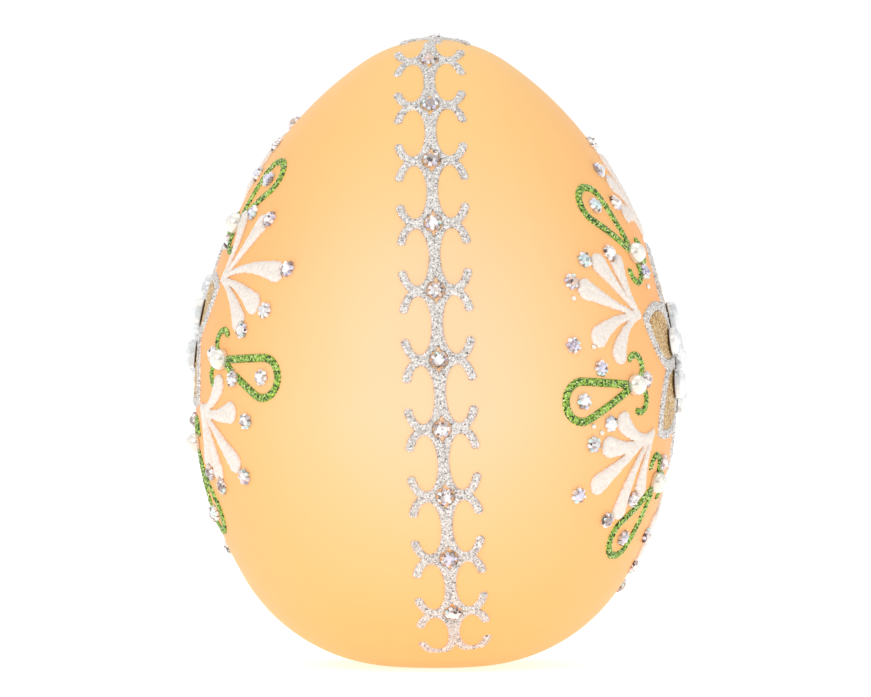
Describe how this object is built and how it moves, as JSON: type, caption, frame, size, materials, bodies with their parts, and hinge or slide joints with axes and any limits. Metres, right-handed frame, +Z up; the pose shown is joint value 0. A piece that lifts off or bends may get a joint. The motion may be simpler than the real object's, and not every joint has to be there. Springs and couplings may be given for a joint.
{
  "type": "decorated glass egg",
  "caption": "Hollow blown-glass egg ornament standing on its blunt end, with a glitter scroll band over the top and a stone-and-pearl flower medallion on each side.",
  "frame": {"origin": "centre of the resting ring on the underside, on the table plane", "axes": "+Z up the egg's axis to its narrow end; the front scroll band faces -Y; one medallion faces +X and one -X"},
  "size_m": [0.1204, 0.1172, 0.1515],
  "materials": {
    "apricot_glass": "satin frosted lacquer on thin blown glass",
    "plug": "milky push-in plug",
    "silver_glitter": "silver glitter in clear glue",
    "gold_glitter": "pale gold glitter in clear glue",
    "green_glitter": "lime green glitter in clear glue",
    "white_relief_paint": "grainy raised white paint",
    "pearl": "cream pearl lustre",
    "crystal": "cut stone with a foiled back and a faint rainbow coating",
    "opal_stone": "milky cut stone with a mirrored back",
    "clear_glue": "clear set glue"
  },
  "bodies": {
    "root": {"back_band": "silver_glitter", "back_band_crystals": "crystal", "blow_hole_plug": "plug", "crown_crystal": "crystal", "crown_scroll": "silver_glitter", "front_band": "silver_glitter", "front_band_crystals": "crystal", "glass_shell": "apricot_glass", "left_fan_1": "white_relief_paint", "left_fan_2": "white_relief_paint", "left_fan_3": "white_relief_paint", "left_fan_4": "white_relief_paint", "left_fan_5": "white_relief_paint", "left_fan_6": "white_relief_paint", "left_fan_crystals": "crystal", "left_flower_centre": "opal_stone", "left_flower_petals": "opal_stone", "left_glue_pads": "clear_glue", "left_gold_lobes": "gold_glitter", "left_lobe_outline": "silver_glitter", "left_loop_1": "green_glitter", "left_loop_2": "green_glitter", "left_loop_3": "green_glitter", "left_loop_4": "green_glitter", "left_loop_5": "green_glitter", "left_loop_6": "green_glitter", "left_loop_crystals": "crystal", "left_pearl_crystals": "crystal", "left_pearls": "pearl", "right_fan_1": "white_relief_paint", "right_fan_2": "white_relief_paint", "right_fan_3": "white_relief_paint", "right_fan_4": "white_relief_paint", "right_fan_5": "white_relief_paint", "right_fan_6": "white_relief_paint", "right_fan_crystals": "crystal", "right_flower_centre": "opal_stone", "right_flower_petals": "opal_stone", "right_glue_pads": "clear_glue", "right_gold_lobes": "gold_glitter", "right_lobe_outline": "silver_glitter", "right_loop_1": "green_glitter", "right_loop_2": "green_glitter", "right_loop_3": "green_glitter", "right_loop_4": "green_glitter", "right_loop_5": "green_glitter", "right_loop_6": "green_glitter", "right_loop_crystals": "crystal", "right_micro_pearls": "pearl", "right_pearl_crystals": "crystal", "right_pearls": "pearl"}
  },
  "joints": []
}
